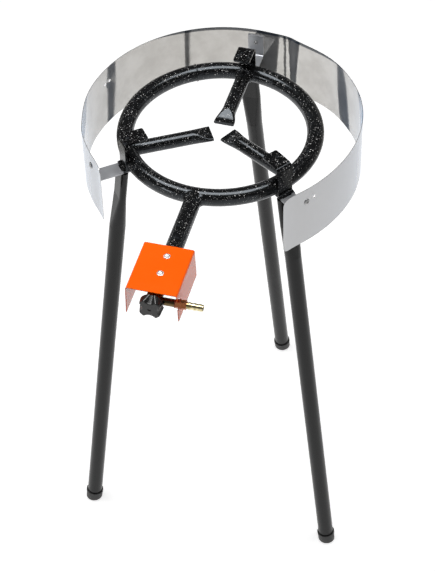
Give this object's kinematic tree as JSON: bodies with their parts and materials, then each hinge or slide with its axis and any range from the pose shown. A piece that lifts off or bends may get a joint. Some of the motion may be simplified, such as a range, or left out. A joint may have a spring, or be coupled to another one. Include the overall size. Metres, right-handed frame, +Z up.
{
  "type": "gas burner",
  "caption": "Gas burner on plug-in tube legs: speckled flame ring with inner arms, pan brackets, open-fronted sheet wind guard, mixing tube, covered tap with lobed knob, and barbed hose nozzle.",
  "frame": {"origin": "on the floor, under the axis of the flame ring", "axes": "+Z up along the ring's axis; the tap, cover and knob are at the front, towards -Y; +X to the right"},
  "size_m": [0.4325, 0.6534, 0.8],
  "materials": {
    "enamel": "gloss speckled enamel",
    "guard_steel": "polished",
    "strip_steel": "satin",
    "rivet_metal": "satin",
    "leg_paint": "satin",
    "foot_plastic": "matte",
    "cover_paint": "gloss",
    "screw_steel": "bright zinc",
    "brass": "machined",
    "seal_rubber": "matte",
    "washer_fibre": "matte",
    "knob_plastic": "satin"
  },
  "bodies": {
    "burner": {"burner_ring": "enamel", "burner_arm_left": "enamel", "burner_arm_right": "enamel", "burner_arm_back": "enamel", "pan_bracket_left": "enamel", "pan_bracket_right": "enamel", "pan_bracket_back": "enamel", "mixing_tube": "enamel", "leg_spigot_left": "enamel", "leg_spigot_right": "enamel", "leg_spigot_back": "enamel", "wind_guard": "guard_steel", "guard_bracket_left": "strip_steel", "guard_bracket_right": "strip_steel", "guard_bracket_back": "strip_steel", "guard_rivets": "rivet_metal", "valve_cover": "cover_paint", "cover_screws": "screw_steel", "valve_body": "brass", "gas_injector": "brass", "injector_bush": "brass", "gland_nut": "brass", "hose_nozzle": "brass", "spindle_seal": "seal_rubber", "nozzle_washer": "washer_fibre"},
    "knob": {"control_knob": "knob_plastic", "valve_spindle": "brass"},
    "leg_left": {"leg_left": "leg_paint", "foot_cap_left": "foot_plastic"},
    "leg_right": {"leg_right": "leg_paint", "foot_cap_right": "foot_plastic"},
    "leg_back": {"leg_back": "leg_paint", "foot_cap_back": "foot_plastic"}
  },
  "joints": [
    {"name": "knob_turn", "type": "hinge", "parent": "burner", "child": "knob", "pos_m": [-0.002, -0.3475, 0.755], "axis": [0, -1, 0], "range_deg": [0, 180]},
    {"name": "leg_left_pull", "type": "slide", "parent": "burner", "child": "leg_left", "axis": [-0.1101, -0.0512, -0.9926], "range_m": [0, 0.08]},
    {"name": "leg_right_pull", "type": "slide", "parent": "burner", "child": "leg_right", "axis": [0.1082, -0.0389, -0.9934], "range_m": [0, 0.08]},
    {"name": "leg_back_pull", "type": "slide", "parent": "burner", "child": "leg_back", "axis": [0.034, 0.1673, -0.9853], "range_m": [0, 0.08]}
  ]
}
